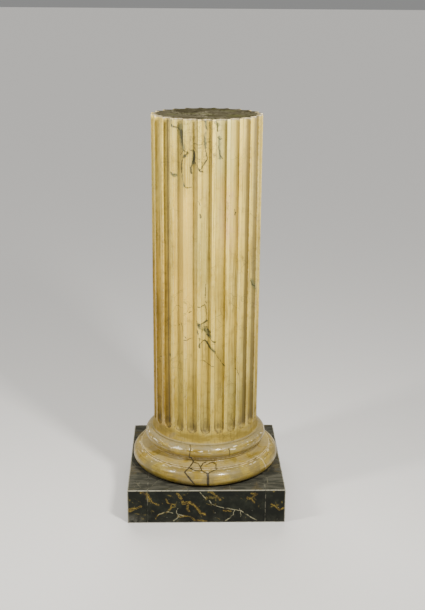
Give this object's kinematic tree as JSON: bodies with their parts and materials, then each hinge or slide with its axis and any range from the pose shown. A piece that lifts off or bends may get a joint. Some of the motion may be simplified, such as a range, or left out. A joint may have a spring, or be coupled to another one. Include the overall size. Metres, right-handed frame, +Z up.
{
  "type": "fluted wooden column",
  "caption": "Fluted round wooden column on a turned base and square plinth, painted as marble, to stand a bust or vase on.",
  "frame": {"origin": "middle of the plinth's underside", "axes": "+Z up along the column's axis, -Y towards the front"},
  "size_m": [0.43, 0.43, 1.082],
  "materials": {
    "yellow_marble_paint": "wood painted as yellow marble with grey-green veins, satin varnish, worn at the edges",
    "black_marble_paint": "wood painted as black marble with gold and white veins, satin varnish, rubbed and dusty"
  },
  "bodies": {
    "root": {"shaft": "yellow_marble_paint", "base_moulding": "yellow_marble_paint", "plinth_middle_block": "black_marble_paint", "plinth_end_board_left": "black_marble_paint", "plinth_end_board_right": "black_marble_paint"}
  },
  "joints": []
}
